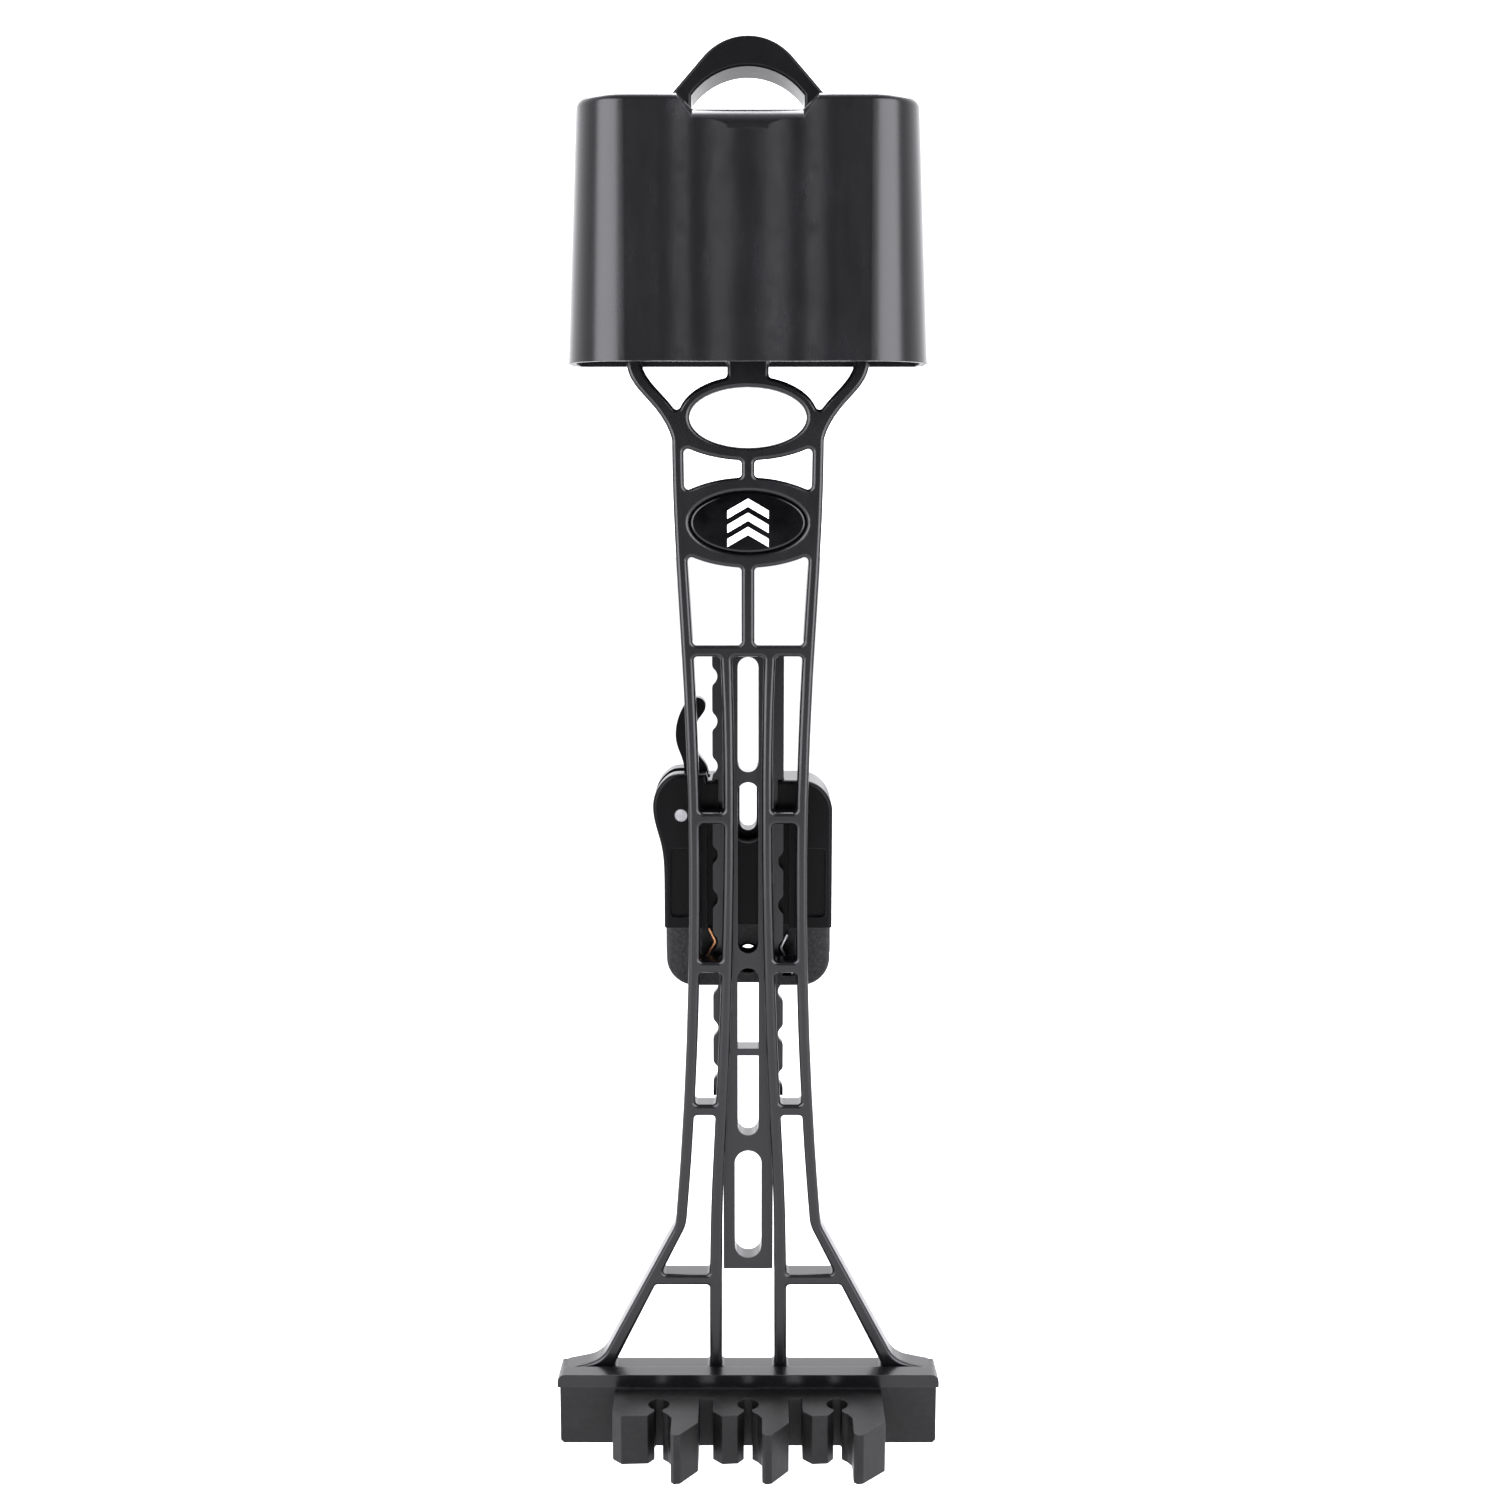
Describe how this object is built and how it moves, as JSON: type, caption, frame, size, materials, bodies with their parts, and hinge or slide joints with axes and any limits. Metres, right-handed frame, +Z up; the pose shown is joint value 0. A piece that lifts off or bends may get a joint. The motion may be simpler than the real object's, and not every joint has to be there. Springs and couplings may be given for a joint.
{
  "type": "bow-mounted arrow quiver",
  "caption": "Detachable, height-adjustable arrow quiver for a compound bow: hood over an openwork frame with a rubber arrow gripper and a cam-lever rail mount.",
  "frame": {"origin": "on the back (riser) face of the mount plate, on the centre line, midway between the lower bow screw hole and the solid web under the upper bow screw slot", "axes": "+Z up along the arrows towards the hood, -Y towards the arrows' side (front), +Y towards the bow riser, +X to the right seen from the front"},
  "size_m": [0.1216, 0.0623, 0.43],
  "materials": {
    "frame_nylon": "satin moulded glass-filled nylon",
    "hood_plastic": "satin smooth moulded plastic",
    "mount_plastic": "fine-textured moulded nylon",
    "badge_gloss": "glossy domed resin",
    "grip_rubber": "matte moulded rubber",
    "foam": "closed-cell foam",
    "steel": "turned stainless steel",
    "black_steel": "black oxide socket screws",
    "brass": "plain machined brass",
    "bronze": "rolled phosphor bronze"
  },
  "bodies": {
    "mount": {"mount_housing": "mount_plastic", "mount_cap": "mount_plastic", "mount_plate": "mount_plastic", "mount_inserts": "brass", "mount_screws": "black_steel", "lever_pin": "steel", "lever_washers": "steel", "detent_spring_left": "bronze", "detent_spring_right": "steel"},
    "quiver": {"frame": "frame_nylon", "badge": "badge_gloss", "hood_shell": "hood_plastic", "hood_foam": "foam", "hood_inserts": "brass", "hood_screws": "black_steel", "hanging_loop": "frame_nylon", "loop_screws": "black_steel", "gripper_block": "grip_rubber", "front_gripper": "grip_rubber", "gripper_screws": "black_steel"},
    "lever": {"cam_lever": "mount_plastic"},
    "shoe": {"clamp_shoe": "mount_plastic"}
  },
  "joints": [
    {"name": "height_slide", "type": "slide", "parent": "mount", "child": "quiver", "axis": [0, 0, 1], "range_m": [-0.02814, 0.1055], "deforming": ["detent_spring_left", "detent_spring_right"]},
    {"name": "cam_lever_hinge", "type": "hinge", "parent": "mount", "child": "lever", "pos_m": [-0.0209, -0.011, 0.0305], "axis": [0, 1, 0], "range_deg": [-100, 0]},
    {"name": "shoe_slide", "type": "slide", "parent": "mount", "child": "shoe", "axis": [1, 0, 0], "range_m": [-0.0003, 0]}
  ],
  "couplings": [
    {"joint": "shoe_slide", "follows": "cam_lever_hinge", "m_per_rad": 0.00017188}
  ]
}
